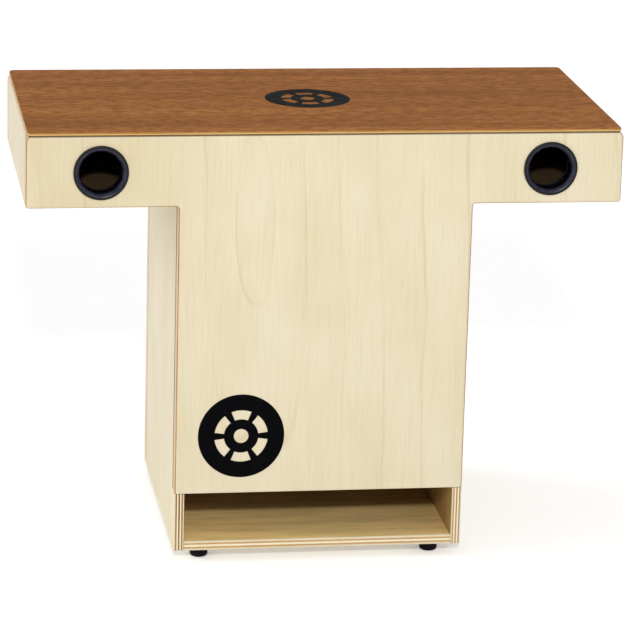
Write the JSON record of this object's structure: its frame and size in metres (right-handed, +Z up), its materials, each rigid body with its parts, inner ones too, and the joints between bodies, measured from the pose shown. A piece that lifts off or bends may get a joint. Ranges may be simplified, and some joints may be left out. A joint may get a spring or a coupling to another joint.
{
  "type": "cajon",
  "caption": "T-shaped slap-top cajon: a flat box with a mahogany-faced playing plate and front sound ports, on a hollow column with a bass slot at the bottom front and rubber feet.",
  "frame": {"origin": "on the ground, midway between the wings' ends and midway between the front and back faces", "axes": "+X to the right as seen from the front, along the wings; +Y from the front face to the back; +Z up, out of the playing surface"},
  "size_m": [0.535, 0.2676, 0.403],
  "materials": {
    "mahogany": "satin clear-coated mahogany veneer, grain along X",
    "birch_panel": "satin clear-coated birch plywood, grain upright, edges sanded round",
    "birch_board": "satin clear-coated birch plywood with bare ply edges",
    "spruce": "raw sawn softwood",
    "black_plastic": "satin moulded black plastic",
    "rubber": "matte black rubber",
    "emblem_foil": "gloss black printed foil",
    "snare_plate": "stamped brass strip",
    "snare_wire": "coiled spring-steel wire",
    "screw_steel": "zinc-plated steel"
  },
  "bodies": {
    "root": {"top_plate": "mahogany", "front_panel": "birch_panel", "back_panel": "birch_panel", "left_column_side": "birch_board", "right_column_side": "birch_board", "bottom_board": "birch_board", "left_wing_end": "birch_board", "right_wing_end": "birch_board", "left_wing_floor": "birch_board", "right_wing_floor": "birch_board", "front_top_rail": "spruce", "back_top_rail": "spruce", "left_top_rail": "spruce", "right_top_rail": "spruce", "front_left_batten": "spruce", "front_right_batten": "spruce", "back_left_batten": "spruce", "back_right_batten": "spruce", "front_left_block": "spruce", "front_right_block": "spruce", "back_left_block": "spruce", "back_right_block": "spruce", "left_port_collar": "black_plastic", "right_port_collar": "black_plastic", "left_snare_bar": "spruce", "right_snare_bar": "spruce", "left_snare_plate": "snare_plate", "right_snare_plate": "snare_plate", "left_snare_wires": "snare_wire", "right_snare_wires": "snare_wire", "snare_screws": "screw_steel", "front_left_foot": "rubber", "front_right_foot": "rubber", "back_left_foot": "rubber", "back_right_foot": "rubber", "foot_washers": "screw_steel", "foot_screws": "screw_steel", "front_emblem": "emblem_foil", "top_emblem": "emblem_foil"}
  },
  "joints": []
}
